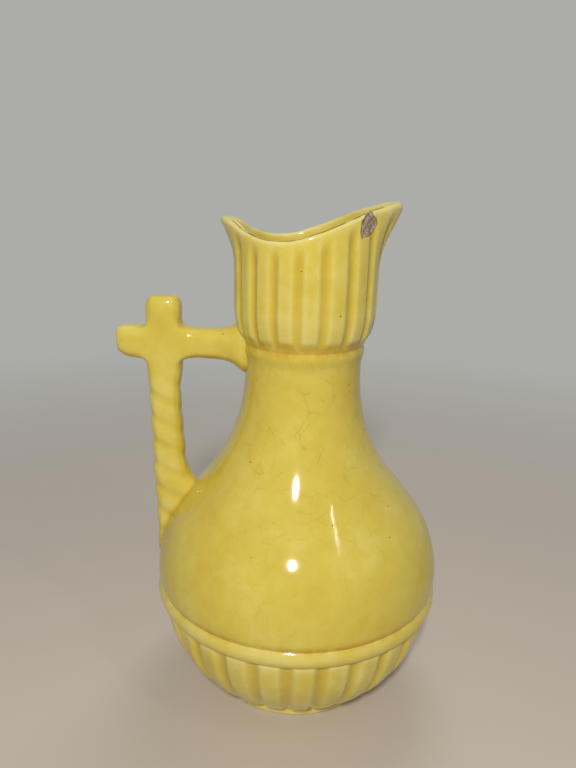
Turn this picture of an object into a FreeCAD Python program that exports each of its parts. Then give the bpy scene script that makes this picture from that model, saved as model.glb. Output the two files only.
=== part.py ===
import FreeCAD, Part
import math
import os
from FreeCAD import Vector

os.makedirs("parts", exist_ok=True)

# A glazed earthenware pouring jug. Lengths are in millimetres. It stands on z = 0 with its axis on
# the z axis, its handle towards -x and its pouring point towards +x.

# The most that a straight chord may lie inside the round that it draws
chord_sag = 0.12

# Foot ring
foot_radius = 36.2
foot_width = 5.6
foot_height = 4.2
foot_edge = 1.2
foot_tongue_height = 1.2
foot_tongue_inset = 1.1

# Belly, shoulder and neck wall
belly_radius = 62.0
belly_level = 56.0
belly_round = 46.0
shoulder_slope = math.radians(39.4)
shoulder_round = 74.0
neck_radius = 24.5
neck_straight = 3.5
wall = 5.5

# Rolled bead over the seam between the bowl and the belly
bead_height = 7.0
bead_drop = 5.8
bead_depth = 1.6
bead_bulge = 1.3
bead_foot_width = 0.9
seam_lap = 4.0

# Lower bowl with its pillow-like lobes
bowl_lobes = 27
lobe_turn = math.radians(6.4)
lobe_depth = 2.1
lobe_end_inset = 0.6
bowl_bulge = 6.2
floor_thickness = 4.5
floor_corner_inset = 3.2
cavity_bulge = 5.0
lobe_level_shares = (0.0, 0.07, 0.17, 0.31, 0.48, 0.68, 0.88, 1.0)
lobe_depth_shares = (0.45, 0.8, 1.0, 1.0, 1.0, 1.0, 0.95, 0.5)

# Where the points of a lobe's or rib's section lie across its half width, and how full it is
lobe_width_shares = (-1.0, -0.74, -0.34, 0.34, 0.74)
lobe_fullness = 2.4

# Raised collar round the top of the neck
collar_height = 9.0
collar_seat_depth = 1.5
collar_bulge = 0.45
collar_top_rise = 0.4

# Fluted mouth with its saddle rim and two pinched points
mouth_ribs = 18
rib_turn = math.radians(-5.0)
cup_radius = 29.3
cup_flare = 0.6
cup_shoulder_height = 15.0
rib_depth = 1.1
rib_start_height = 5.0
rib_rim_gap = 1.6
rib_fade_height = 5.0
mouth_tongue_height = 3.0
mouth_tongue_width = 2.2
mouth_throat_height = 18.0
cup_wall = 3.6
lip_wall = 3.0
pinch_pull = 8.2
pinch_start_height = 30.0
pinch_span = 27.8
pinch_ease = 1.3
pinch_sharpness = 14
pinch_squeeze = 2.0
rim_low_height = 42.6
spout_rise = 15.2
section_margin = 3.5
inner_points = 72
mouth_level_shares = (0.0, 0.04, 0.09, 0.16, 0.25, 0.48, 0.58, 0.67, 0.75, 0.83, 0.91, 1.0)
inner_level_shares = (0.0, 0.10, 0.20, 0.32, 0.50, 0.62, 0.72, 0.82, 0.91, 1.0)
# The rim from the side: shares of the reach to the pouring point and of the spout's rise
rim_shares = (
    (-1.0, 0.566),
    (-0.664, 0.171),
    (-0.336, 0.0),
    (0.101, 0.217),
    (0.27, 0.368),
    (0.453, 0.546),
    (0.627, 0.73),
    (0.8, 0.849),
    (1.0, 1.0),
)

# Handle: a square bar out of the neck, crossed by an upright of two-strand rope twist
bar_drop = 1.8
bar_size = 13.2
bar_corner = 4.4
corner_limit_share = 0.48
bar_embed = 20.0
root_flare = 6.5
root_flare_length = 12.0
root_shares = ((0.25, 0.72), (0.6, 0.22))
stub_reach = 19.7
stub_end_inset = 1.6
stub_end_length = 2.2
boss_height = 19.5
boss_width = 14.6
boss_flare = 4.6
boss_shares = (-1.0, -0.5, 0.0, 0.5, 1.0)
top_stub_height = 9.6
top_stub_width = 14.6
top_stub_full_share = 0.4
upright_inset = 3.7
upright_half_width = 6.3
upright_corner_bulge = 1.3
upright_lean = 1.2
rope_lead = 21.0
rope_strands = 2
rope_groove_depth = 0.9
rope_groove_sharpness = 2
rope_fade_height = 9.0
rope_step_share = 0.125
rope_points = 24
tail_rise = 2.0
tail_taper_height = 12.0
tail_taper = 2.4
web_reach = 5.0
web_height = 6.0
web_rise = 36.5

overrun = 1.0

# Levels and radii that follow from the sizes above
bead_top = belly_level - bead_drop
bead_bottom = bead_top - bead_height
seam_level = bead_top - bead_height / 2
lap_level = seam_level - seam_lap


def belly_point(inset, angle):
    """A point on the belly's round, inset into the wall, as (radius, height)."""
    size = belly_round - inset
    return belly_radius - belly_round + size * math.cos(angle), belly_level + size * math.sin(angle)


def belly_radius_at(inset, level):
    size = belly_round - inset
    return belly_radius - belly_round + math.sqrt(size ** 2 - (level - belly_level) ** 2)


slope_start = belly_point(0, shoulder_slope)
slope_end_radius = neck_radius + shoulder_round * (1 - math.cos(shoulder_slope))
slope_end_level = slope_start[1] + (slope_start[0] - slope_end_radius) / math.tan(shoulder_slope)
neck_level = slope_end_level + shoulder_round * math.sin(shoulder_slope)
collar_level = neck_level + neck_straight
mouth_base = collar_level + collar_height
throat_radius = neck_radius - wall
tongue_radius = throat_radius + mouth_tongue_width
collar_seat_radius = neck_radius - collar_seat_depth
mouth_base_radius = neck_radius + collar_top_rise
bead_seat_radius = belly_radius_at(0, bead_top) - bead_depth
seam_inner_radius = belly_radius_at(wall, seam_level)
lap_radius = (bead_seat_radius + seam_inner_radius) / 2
mouth_height = rim_low_height + spout_rise
bar_level = mouth_base - bar_drop
handle_x = -(belly_radius - upright_inset)


def shoulder_point(inset, angle):
    """A point on the hollow round between the shoulder and the neck."""
    size = shoulder_round + inset
    return neck_radius + shoulder_round - size * math.cos(angle), neck_level - size * math.sin(angle)


def arc_between(low, high, bulge):
    """Centre and radius of the arc from low to high that swells outwards by bulge."""
    dr, dz = high[0] - low[0], high[1] - low[1]
    chord = math.hypot(dr, dz)
    radius = (chord ** 2 / 4 + bulge ** 2) / (2 * bulge)
    back = (radius - bulge) / chord
    return ((low[0] + high[0]) / 2 - dz * back, (low[1] + high[1]) / 2 + dr * back), radius


def arc_middle(low, high, bulge):
    dr, dz = high[0] - low[0], high[1] - low[1]
    chord = math.hypot(dr, dz)
    return (low[0] + high[0]) / 2 + dz * bulge / chord, (low[1] + high[1]) / 2 - dr * bulge / chord


def closed_wire(points):
    return Part.makePolygon(points + points[:1])


def chord_points(start, middle, end):
    """The ends of the chords that draw the arc from start over middle to end."""
    arc = Part.Arc(start, middle, end).toShape()
    first, turn = arc.FirstParameter, arc.LastParameter - arc.FirstParameter
    chords = max(2, math.ceil(turn / (2 * math.acos(1 - chord_sag / arc.Curve.Radius))))
    return [arc.valueAt(first + turn * k / chords) for k in range(1, chords + 1)]


def turned(start, *steps):
    """A solid of revolution. A step is a point, reached in a line, or a middle and an end of an arc."""
    points = [Vector(start[0], 0, start[1])]
    for step in steps:
        if isinstance(step[0], tuple):
            middle, end = [Vector(p[0], 0, p[1]) for p in step]
            points += chord_points(points[-1], middle, end)
        else:
            points.append(Vector(step[0], 0, step[1]))
    return Part.Face(closed_wire(points)).revolve(Vector(0, 0, 0), Vector(0, 0, 1), 360)


def polar(radius, angle, level):
    return Vector(radius * math.cos(angle), radius * math.sin(angle), level)


def lobed_wire(level, count, turn, crest, depth):
    """A closed line of lobes, each full over most of its width and falling to a groove beside it."""
    half = math.pi / count
    points = []
    for k in range(count):
        for share in lobe_width_shares:
            angle = turn + half * (2 * k + share)
            fall = depth(angle) * abs(share) ** lobe_fullness
            points.append(polar(crest(angle) - fall, angle, level))
    return closed_wire(points)


def skinned(rings):
    """A solid with a straight skin from each ring to the next."""
    return Part.makeLoft(rings, True, True)


# Foot ring: a flat to stand on, a rounded outer edge and a tongue that keys into the bowl


def foot_ring():
    inner = foot_radius - foot_width
    top = foot_height + foot_tongue_height
    corner = foot_edge * (1 - math.sqrt(0.5))
    return turned(
        (inner, 0),
        (foot_radius - foot_edge, 0),
        ((foot_radius - corner, corner), (foot_radius, foot_edge)),
        (foot_radius, foot_height),
        (foot_radius - foot_tongue_inset, foot_height),
        (foot_radius - foot_tongue_inset, top),
        (inner + foot_tongue_inset, top),
        (inner + foot_tongue_inset, foot_height),
        (inner, foot_height),
    )


# Lower bowl: one loft through lobed rings, hollowed, with a rebated rim


def gadrooned_bowl():
    low = (foot_radius + lobe_end_inset, foot_height)
    high = (bead_seat_radius, seam_level)
    centre, radius = arc_between(low, high, bowl_bulge)
    rings = []
    for share, depth_share in zip(lobe_level_shares, lobe_depth_shares):
        level = foot_height + share * (bead_bottom - foot_height)
        crest = centre[0] + math.sqrt(radius ** 2 - (level - centre[1]) ** 2)
        depth = lobe_depth * depth_share
        rings.append(lobed_wire(level, bowl_lobes, lobe_turn, lambda a: crest, lambda a: depth))
    body = skinned(rings)
    rim = turned((0, bead_bottom), (bead_seat_radius, bead_bottom), high, (0, seam_level))
    floor = (foot_radius - floor_corner_inset, foot_height + floor_thickness)
    edge = (seam_inner_radius, lap_level)
    hollow = turned(
        (0, floor[1]),
        floor,
        (arc_middle(floor, edge, cavity_bulge), edge),
        (lap_radius, lap_level),
        (lap_radius, seam_level + overrun),
        (0, seam_level + overrun),
    )
    return body.fuse(rim).cut(hollow).cut(foot_ring()).removeSplitter()


# Belly, shoulder and neck: one wall, stepped at both ends for the pieces that it joins


def belly_outline_outside():
    half = shoulder_slope / 2
    start = math.asin((bead_top - belly_level) / belly_round)
    middle = belly_point(0, (start + shoulder_slope) / 2)
    return (
        (bead_seat_radius, bead_top),
        belly_point(0, start),
        (middle, slope_start),
        shoulder_point(0, shoulder_slope),
        (shoulder_point(0, half), (neck_radius, neck_level)),
        (neck_radius, collar_level),
        (collar_seat_radius, collar_level),
        (collar_seat_radius, mouth_base),
    )


def belly_and_neck():
    half = shoulder_slope / 2
    start = math.asin((seam_level - belly_level) / (belly_round - wall))
    return turned(
        (bead_seat_radius, seam_level),
        *belly_outline_outside(),
        (tongue_radius, mouth_base),
        (tongue_radius, mouth_base + mouth_tongue_height),
        (throat_radius, mouth_base + mouth_tongue_height),
        (throat_radius, neck_level),
        (shoulder_point(wall, half), shoulder_point(wall, shoulder_slope)),
        belly_point(wall, shoulder_slope),
        (belly_point(wall, (start + shoulder_slope) / 2), (seam_inner_radius, seam_level)),
        (seam_inner_radius, lap_level),
        (lap_radius, lap_level),
        (lap_radius, seam_level),
    )


def belly_core():
    """The same wall without its hollow, for the handle to be fitted to."""
    return turned((0, seam_level), (bead_seat_radius, seam_level), *belly_outline_outside(), (0, mouth_base))


def belly_bead():
    top = (belly_radius_at(0, bead_top), bead_top)
    low = (bead_seat_radius + bead_foot_width, bead_bottom)
    return turned(
        (bead_seat_radius, bead_bottom),
        low,
        (arc_middle(low, top, bead_bulge), top),
        (bead_seat_radius, bead_top),
    )


def neck_collar():
    low = (neck_radius, collar_level)
    top = (mouth_base_radius, mouth_base)
    return turned(
        (collar_seat_radius, collar_level),
        low,
        (arc_middle(low, top, collar_bulge), top),
        (collar_seat_radius, mouth_base),
    )


# Fluted mouth: the cup is round below, and towards the rim its ribs on the x axis are drawn out


def pinch(height, angle):
    rise = min(1.0, max(0.0, height - pinch_start_height) / pinch_span)
    eased = (1 - math.cos(math.pi * rise ** pinch_ease)) / 2
    drawn_in = pinch_squeeze * rise * math.sin(angle) ** 2
    return pinch_pull * eased * abs(math.cos(angle)) ** pinch_sharpness - drawn_in


def cup_crest(height, angle):
    swell = math.sin(math.pi / 2 * min(1.0, height / cup_shoulder_height))
    round_radius = mouth_base_radius + (cup_radius - mouth_base_radius) * swell
    return round_radius + cup_flare * height / mouth_height + pinch(height, angle)


def rim_points():
    """The rim seen from the side, from the back point over the low saddle to the pouring point."""
    reach, base = cup_radius + pinch_pull, mouth_base + rim_low_height
    return [Vector(place * reach, 0, base + rise * spout_rise) for place, rise in rim_shares]


def rim_curve():
    curve = Part.BSplineCurve()
    curve.interpolate(rim_points())
    return curve


def rim_height_at(curve, x):
    x = min(max(x, curve.StartPoint.x), curve.EndPoint.x)
    return curve.value(curve.parameter(Vector(x, 0, mouth_base + rim_low_height))).z - mouth_base


def groove_depth(curve, height, angle):
    reach = cup_crest(height, angle)
    below = rim_height_at(curve, reach * math.cos(angle)) - height
    fade = min(1.0, max(0.0, (below - rib_rim_gap) / rib_fade_height))
    return rib_depth * fade * min(1.0, height / rib_start_height)


def cup_outside():
    curve = rim_curve()
    rings = []
    for share in mouth_level_shares:
        height = share * (mouth_height + section_margin)
        rings.append(
            lobed_wire(
                mouth_base + height,
                mouth_ribs,
                rib_turn,
                lambda a: cup_crest(height, a),
                lambda a: groove_depth(curve, height, a),
            )
        )
    return skinned(rings)


def cup_inside():
    rings = []
    for share in inner_level_shares:
        low = mouth_tongue_height
        height = low + share * (mouth_height + section_margin + overrun - low)
        swell = math.sin(math.pi / 2 * min(1.0, (height - low) / mouth_throat_height))
        wall_here = cup_wall + rib_depth + (lip_wall - cup_wall) * share
        ring = []
        for k in range(inner_points):
            angle = 2 * math.pi * k / inner_points
            full = cup_crest(max(height, cup_shoulder_height), angle) - wall_here
            ring.append(polar(throat_radius + (full - throat_radius) * swell, angle, mouth_base + height))
        rings.append(closed_wire(ring))
    return skinned(rings)


def above_rim():
    curve = rim_curve()
    span = cup_radius + pinch_pull
    top = mouth_base + mouth_height + section_margin + 2 * overrun
    start, end = curve.StartPoint, curve.EndPoint
    left, right = start.x - span, end.x + span
    corners = (end, Vector(right, 0, end.z), Vector(right, 0, top), Vector(left, 0, top))
    corners += (Vector(left, 0, start.z), start)
    edges = [curve.toShape()]
    edges += [Part.LineSegment(a, b).toShape() for a, b in zip(corners, corners[1:])]
    face = Part.Face(Part.Wire(edges))
    face.translate(Vector(0, -span, 0))
    return face.extrude(Vector(0, 2 * span, 0))


def fluted_mouth(outside):
    rebate = turned(
        (0, mouth_base - overrun),
        (tongue_radius, mouth_base - overrun),
        (tongue_radius, mouth_base + mouth_tongue_height),
        (0, mouth_base + mouth_tongue_height),
    )
    return outside.cut(above_rim()).cut(rebate).cut(cup_inside())


# Handle bars: rounded squares lofted along their length


def square_wire(centre, across, up, width, depth, corner):
    """A rounded rectangle round centre, width along across and depth along up."""
    corner = min(corner, corner_limit_share * width, corner_limit_share * depth)
    slant = corner * (1 - math.sqrt(0.5))
    x, y = width / 2, depth / 2
    points = []
    for sx, sy in ((1, 1), (-1, 1), (-1, -1), (1, -1)):
        places = [(x, y - corner), (x - slant, y - slant), (x - corner, y)]
        if sx * sy < 0:
            places.reverse()
        points += [centre + across * (sx * a) + up * (sy * b) for a, b in places]
    return closed_wire(points)


def handle_crossbar(cup):
    y, z = Vector(0, 1, 0), Vector(0, 0, 1)
    root = -neck_radius
    end = handle_x - stub_reach
    straight = root - root_flare_length
    flares = [
        (root - place * root_flare_length, bar_size + size * root_flare) for place, size in root_shares
    ]
    places = (
        (-bar_embed, bar_size + root_flare),
        *flares,
        (straight, bar_size),
        ((straight + handle_x) / 2, bar_size),
        (handle_x, bar_size),
        (end + stub_end_length, bar_size),
        (end, bar_size - 2 * stub_end_inset),
    )
    bar = skinned(
        [square_wire(Vector(x, 0, bar_level), y, z, size, size, bar_corner) for x, size in places]
    )
    rings = []
    for share in boss_shares:
        width = boss_width + boss_flare * (1 - abs(share))
        centre = Vector(handle_x, 0, bar_level + share * boss_height / 2)
        rings.append(square_wire(centre, Vector(1, 0, 0), y, width, bar_size, bar_corner))
    boss = skinned(rings)
    vessel = belly_core().fuse(neck_collar()).fuse(cup)
    return bar.fuse(boss).cut(vessel)


def handle_top_stub():
    low = bar_level + boss_height / 2
    places = (
        (low, boss_width),
        (low + top_stub_full_share * top_stub_height, top_stub_width),
        (low + top_stub_height - stub_end_length, top_stub_width),
        (low + top_stub_height, top_stub_width - 2 * stub_end_inset),
    )
    x, y = Vector(1, 0, 0), Vector(0, 1, 0)
    rings = []
    for level, width in places:
        depth = width - boss_width + bar_size
        rings.append(square_wire(Vector(handle_x, 0, level), x, y, width, depth, bar_corner))
    return skinned(rings)


def rope_ring(level, top, tail):
    """One cross-section of the upright: a rounded square with the grooves between its strands."""
    height = level - tail
    rise = (level - belly_level - web_rise) / web_height
    web = web_reach * math.exp(-rise ** 2)
    taper = tail_taper * max(0.0, 1 - height / tail_taper_height) ** 2
    lean = upright_lean * (top - level) / (top - tail)
    fade = min(1.0, (top - level) / rope_fade_height)
    start = -2 * math.pi * level / rope_lead
    points = []
    for k in range(rope_points):
        angle = 2 * math.pi * k / rope_points
        groove = ((1 + math.cos(rope_strands * (angle - start))) / 2) ** rope_groove_sharpness
        radius = upright_half_width + upright_corner_bulge * math.sin(2 * angle) ** 2
        radius -= rope_groove_depth * groove * fade
        radius += web * max(0.0, math.cos(angle)) ** 3
        x = handle_x + lean + taper + radius * math.cos(angle)
        points.append(Vector(x, radius * math.sin(angle), level))
    return closed_wire(points)


def twisted_upright():
    top = bar_level - boss_height / 2
    tail = belly_level + tail_rise
    steps = round((top - tail) / (rope_lead * rope_step_share))
    rings = [rope_ring(top - (top - tail) * k / steps, top, tail) for k in range(steps + 1)]
    return skinned(rings).cut(belly_core())


cup = cup_outside()
pieces = {
    "foot_ring": foot_ring(),
    "gadrooned_bowl": gadrooned_bowl(),
    "belly_bead": belly_bead(),
    "belly_and_neck": belly_and_neck(),
    "neck_collar": neck_collar(),
    "fluted_mouth": fluted_mouth(cup),
    "handle_crossbar": handle_crossbar(cup),
    "handle_top_stub": handle_top_stub(),
    "twisted_upright": twisted_upright(),
}

for name, shape in pieces.items():
    box = shape.BoundBox
    print(name, "valid", shape.isValid(), "solids", len(shape.Solids), "volume", round(shape.Volume))
    print("   x", round(box.XMin, 1), round(box.XMax, 1), "z", round(box.ZMin, 1), round(box.ZMax, 1))
    shape.exportStep("parts/" + name + ".step")
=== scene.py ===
import math

import bmesh
import bpy
import numpy as np
from mathutils import Matrix, Vector


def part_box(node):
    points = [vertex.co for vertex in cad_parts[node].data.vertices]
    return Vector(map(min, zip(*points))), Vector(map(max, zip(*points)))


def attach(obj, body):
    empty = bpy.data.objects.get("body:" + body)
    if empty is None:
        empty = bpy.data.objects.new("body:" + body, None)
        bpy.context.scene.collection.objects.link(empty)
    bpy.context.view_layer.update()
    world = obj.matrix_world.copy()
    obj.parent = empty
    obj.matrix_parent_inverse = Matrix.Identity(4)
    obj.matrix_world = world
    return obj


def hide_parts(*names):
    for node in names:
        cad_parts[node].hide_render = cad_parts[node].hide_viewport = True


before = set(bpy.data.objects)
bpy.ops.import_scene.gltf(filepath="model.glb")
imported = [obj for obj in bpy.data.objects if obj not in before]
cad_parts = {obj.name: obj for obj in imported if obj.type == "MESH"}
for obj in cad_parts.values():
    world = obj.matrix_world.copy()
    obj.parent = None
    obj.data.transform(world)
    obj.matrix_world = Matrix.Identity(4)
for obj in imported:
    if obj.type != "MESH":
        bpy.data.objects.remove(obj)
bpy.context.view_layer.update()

mm = 0.001


def boxMm(node):
    low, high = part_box(node)
    return low / mm, high / mm


# Levels of the jug, read from the frame, in mm
foot = boxMm("foot_ring")
bead = boxMm("belly_bead")
collar = boxMm("neck_collar")
mouth = boxMm("fluted_mouth")
bar = boxMm("handle_crossbar")
stub = boxMm("handle_top_stub")
upright = boxMm("twisted_upright")


# Colour and node helpers
def linear(hexText):
    parts = [int(hexText[i:i + 2], 16) / 255 for i in (1, 3, 5)]
    return [p / 12.92 if p <= 0.04045 else ((p + 0.055) / 1.055) ** 2.4 for p in parts] + [1.0]


def addNode(tree, kind, inputs=(), **settings):
    # inputs is a list in socket order or a dict; a node given as a value means its first output
    node = tree.nodes.new(kind)
    for name, value in settings.items():
        setattr(node, name, value)
    pairs = inputs.items() if isinstance(inputs, dict) else enumerate(inputs)
    for key, value in pairs:
        if isinstance(value, bpy.types.Node):
            value = value.outputs[0]
        if isinstance(value, bpy.types.NodeSocket):
            tree.links.new(value, node.inputs[key])
        else:
            node.inputs[key].default_value = value
    return node


def emptyTree(owner):
    owner.use_nodes = True
    owner.node_tree.nodes.clear()
    return owner.node_tree


# Materials: one glaze, dipped over buff earthenware, told apart by how it lies on each piece
glaze = {
    "pale": "#DED07F",       # thin over ridges, where the light body shows through
    "body": "#D2BE4E",       # even thickness on the belly
    "deep": "#C9AC38",       # a little thicker
    "olive": "#A39847",      # thick in grooves
    "amber": "#C4942B",      # run together in rings at joints, and painted shade in the rings under the bead and under the lobes' ends
    "crazeBrown": "#8F7326",
    "pinholeBrown": "#4E3A14",
    "wearBrown": "#4E3419",
    "clay": "#86705F",
    "clayLight": "#B7A692",
    "paleAt": 0.15, "bodyAt": 0.46, "deepAt": 0.74,
    "toneMm": 24.0, "toneShare": 0.50,
    "mottleMm": 5.0, "mottleShare": 0.28,
    "grainMm": 0.9, "grainShare": 0.10,
    "poolAndShadeThickens": 0.35, "poolAndShadeColours": 0.85,
    "rippleMm": 9.0, "rippleDeepMm": 0.05,
    "peelMm": 1.5, "peelDeepMm": 0.004,
    "crazeWideMm": 5.8,
    "crazeTallShare": 0.46,
    "crazeGapMm": 7.0,
    "crazeBendMm": 0.8,
    "crazeLineMm": 0.20,     # finer in life, drawn just wide enough to show
    "crazeDeepMm": 0.01,
    "crazeLeast": 0.10, "crazeMost": 0.30,
    "crazeFaintUnderMm": 78.0, "crazeFullOverMm": 112.0, "crazeFaintShare": 0.4,
    "pinholeCellMm": 7.5, "pinholeMm": 0.34, "pinholeDeepMm": 0.15, "pinholeMissing": 0.25,
    "clayGrainMm": 0.7, "clayDeepMm": 0.12,
    "chipEdge": 0.47, "chipEdgeDark": 0.75,
    "roughness": 0.10, "wornRoughness": 0.35, "clayRoughness": 0.85,
    "ior": 1.52,
}
# Rings where glaze runs together outside, the ones under the bead and at the foot also painted shade: height,
# half width, strength and least radius
poolAndShadeRings = [
    (bead[1].z + 0.9, 2.4, 0.34, 57.0),
    # painted shadow under the bead's overhang, on top of the glaze gathered at this joint
    (bead[0].z - 0.5, 1.3, 0.40, 57.0),
    (collar[1].z + 1.0, 5.2, 0.40, 22.0),
    # painted shade under the lobes' ends, on top of the glaze gathered where the bowl meets the foot
    (foot[1].z - 1.0, 1.6, 0.30, 34.0),
]


def dippedGlaze(name, craze=1.0, poolAndShadeStrength=1.0, tone=0.0, ripples=1.0):
    # Yellow lead-type glaze, dipped and fired: wet gloss, pale on ridges, amber where it ran thick and as
    # painted shade under the bead and the lobes' ends, with fine brown crazing and a few pinholes; a chip
    # shows the dull buff clay under it
    material = bpy.data.materials.new(name)
    tree = emptyTree(material)
    coords = addNode(tree, "ShaderNodeTexCoord").outputs["Object"]
    inMm = addNode(tree, "ShaderNodeVectorMath", {0: coords, "Scale": 1 / mm}, operation="SCALE")
    height = addNode(tree, "ShaderNodeSeparateXYZ", [inMm]).outputs["Z"]
    level = addNode(tree, "ShaderNodeVectorMath", [inMm, (1.0, 1.0, 0.0)], operation="MULTIPLY")
    radius = addNode(tree, "ShaderNodeVectorMath", [level], operation="LENGTH").outputs["Value"]
    toneNoise, mottle, grain, ripple, peel, claySpeck = [
        addNode(tree, "ShaderNodeTexNoise", {"Vector": inMm, "Scale": 1 / glaze[size], "Detail": detail})
        for size, detail in (("toneMm", 2.0), ("mottleMm", 3.0), ("grainMm", 2.0), ("rippleMm", 1.0),
                             ("peelMm", 1.0), ("clayGrainMm", 4.0))]

    # How thick the glaze lies: the mesh's own hollows, then the rings where it gathers, two of which also
    # paint shade under the bead and under the lobes' ends
    thick = addNode(tree, "ShaderNodeAttribute", attribute_name="hollow").outputs["Fac"]
    patchy = addNode(
        tree, "ShaderNodeMapRange",
        {"Value": mottle, "From Min": 0.36, "From Max": 0.64, "To Min": 0.2, "To Max": 1.4})
    pooledAndShaded = 0.0
    for ringLevel, halfWidth, strength, leastRadius in poolAndShadeRings:
        gap = addNode(tree, "ShaderNodeMath", [height, ringLevel], operation="SUBTRACT")
        gap = addNode(tree, "ShaderNodeMath", [gap], operation="ABSOLUTE")
        ring = addNode(
            tree, "ShaderNodeMapRange",
            {"Value": gap, "From Min": halfWidth, "From Max": 0.0, "To Min": 0.0,
             "To Max": strength * poolAndShadeStrength}, interpolation_type="SMOOTHERSTEP")
        outside = addNode(tree, "ShaderNodeMath", [radius, leastRadius], operation="GREATER_THAN")
        ring = addNode(tree, "ShaderNodeMath", [ring, outside], operation="MULTIPLY")
        pooledAndShaded = addNode(tree, "ShaderNodeMath", [ring, patchy, pooledAndShaded], operation="MULTIPLY_ADD")
    thick = addNode(tree, "ShaderNodeMath", [pooledAndShaded, glaze["poolAndShadeThickens"], thick], operation="MULTIPLY_ADD")
    for source, share in ((toneNoise, "toneShare"), (mottle, "mottleShare"), (grain, "grainShare")):
        centred = addNode(tree, "ShaderNodeMath", [source, 0.5], operation="SUBTRACT")
        thick = addNode(tree, "ShaderNodeMath", [centred, glaze[share], thick], operation="MULTIPLY_ADD")
    thick = addNode(tree, "ShaderNodeMath", [thick, tone], operation="ADD")
    ramp = addNode(tree, "ShaderNodeValToRGB", [thick])
    ends = ramp.color_ramp.elements
    ends[0].position, ends[0].color = glaze["paleAt"], linear(glaze["pale"])
    ends[1].position, ends[1].color = 1.0, linear(glaze["olive"])
    ends.new(glaze["bodyAt"]).color = linear(glaze["body"])
    ends.new(glaze["deepAt"]).color = linear(glaze["deep"])
    pooledAndShaded = addNode(tree, "ShaderNodeMath", [pooledAndShaded, glaze["poolAndShadeColours"]],
                     operation="MULTIPLY", use_clamp=True)

    # Crazing: upright cells, bent by a slow noise, stronger in some patches and on the neck
    bent = addNode(
        tree, "ShaderNodeVectorMath", {0: mottle.outputs["Color"], "Scale": glaze["crazeBendMm"]},
        operation="SCALE")
    bent = addNode(tree, "ShaderNodeVectorMath", [inMm, bent], operation="ADD")
    tall = addNode(tree, "ShaderNodeMapping", {"Vector": bent, "Scale": (1.0, 1.0, glaze["crazeTallShare"])})
    cells = addNode(
        tree, "ShaderNodeTexVoronoi", {"Vector": tall, "Scale": 1 / glaze["crazeWideMm"]},
        feature="DISTANCE_TO_EDGE")
    crack = addNode(
        tree, "ShaderNodeMapRange",
        {"Value": cells, "From Min": 0.0, "From Max": glaze["crazeLineMm"] / glaze["crazeWideMm"],
         "To Min": 1.0, "To Max": 0.0})
    gapNoise = addNode(tree, "ShaderNodeTexNoise", {"Vector": tall, "Scale": 1 / glaze["crazeGapMm"]})
    for source, low, high, least, most in (
            (mottle, 0.40, 0.60, glaze["crazeLeast"] * craze, glaze["crazeMost"] * craze),
            (height, glaze["crazeFaintUnderMm"], glaze["crazeFullOverMm"], glaze["crazeFaintShare"], 1.0),
            (gapNoise, 0.44, 0.54, 0.08, 1.0)):
        share = addNode(
            tree, "ShaderNodeMapRange",
            {"Value": source, "From Min": low, "From Max": high, "To Min": least, "To Max": most})
        crack = addNode(tree, "ShaderNodeMath", [crack, share], operation="MULTIPLY")

    # Pinholes: one small dark pit in some cells
    pits = addNode(tree, "ShaderNodeTexVoronoi", {"Vector": inMm, "Scale": 1 / glaze["pinholeCellMm"]})
    pinhole = glaze["pinholeMm"] / glaze["pinholeCellMm"]
    near = addNode(
        tree, "ShaderNodeMapRange",
        {"Value": pits.outputs["Distance"], "From Min": 0.5 * pinhole, "From Max": pinhole,
         "To Min": 1.0, "To Max": 0.0})
    chosen = addNode(tree, "ShaderNodeSeparateColor", [pits.outputs["Color"]])
    some = addNode(tree, "ShaderNodeMath", [chosen, glaze["pinholeMissing"]], operation="GREATER_THAN")
    pit = addNode(tree, "ShaderNodeMath", [near, some], operation="MULTIPLY")

    # Worn brown line on the lip, broken by the mottle
    worn = addNode(tree, "ShaderNodeAttribute", attribute_name="worn").outputs["Fac"]
    broken = addNode(
        tree, "ShaderNodeMapRange",
        {"Value": mottle, "From Min": 0.38, "From Max": 0.54, "To Min": 0.55, "To Max": 1.0})
    worn = addNode(tree, "ShaderNodeMath", [worn, broken], operation="MULTIPLY")

    # Bare clay in the chip, speckled with lighter grains, inside a dark outline
    bare = addNode(tree, "ShaderNodeAttribute", attribute_name="bare").outputs["Fac"]
    bareEdge = addNode(tree, "ShaderNodeMapRange", {"Value": bare, "From Min": 0.42, "From Max": 0.58})
    clayRamp = addNode(tree, "ShaderNodeValToRGB", [claySpeck])
    for end, place, shade in zip(clayRamp.color_ramp.elements, (0.40, 0.70), ("clay", "clayLight")):
        end.position, end.color = place, linear(glaze[shade])
    fromEdge = addNode(tree, "ShaderNodeMath", [bare, glaze["chipEdge"]], operation="SUBTRACT")
    fromEdge = addNode(tree, "ShaderNodeMath", [fromEdge], operation="ABSOLUTE")
    outline = addNode(
        tree, "ShaderNodeMapRange",
        {"Value": fromEdge, "From Min": 0.03, "From Max": 0.14, "To Min": glaze["chipEdgeDark"],
         "To Max": 0.0})

    # Each layer over the one before
    colour = ramp
    for share, over in ((pooledAndShaded, linear(glaze["amber"])), (crack, linear(glaze["crazeBrown"])),
                        (pit, linear(glaze["pinholeBrown"])), (worn, linear(glaze["wearBrown"])),
                        (bareEdge, clayRamp), (outline, linear(glaze["pinholeBrown"]))):
        colour = addNode(tree, "ShaderNodeMix", {0: share, 6: colour, 7: over}, data_type="RGBA").outputs[2]
    dull = addNode(
        tree, "ShaderNodeMapRange",
        {"Value": bareEdge, "To Min": glaze["roughness"], "To Max": glaze["clayRoughness"]})
    rough = addNode(tree, "ShaderNodeMath", [worn, glaze["wornRoughness"], dull], operation="MULTIPLY_ADD")

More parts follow.
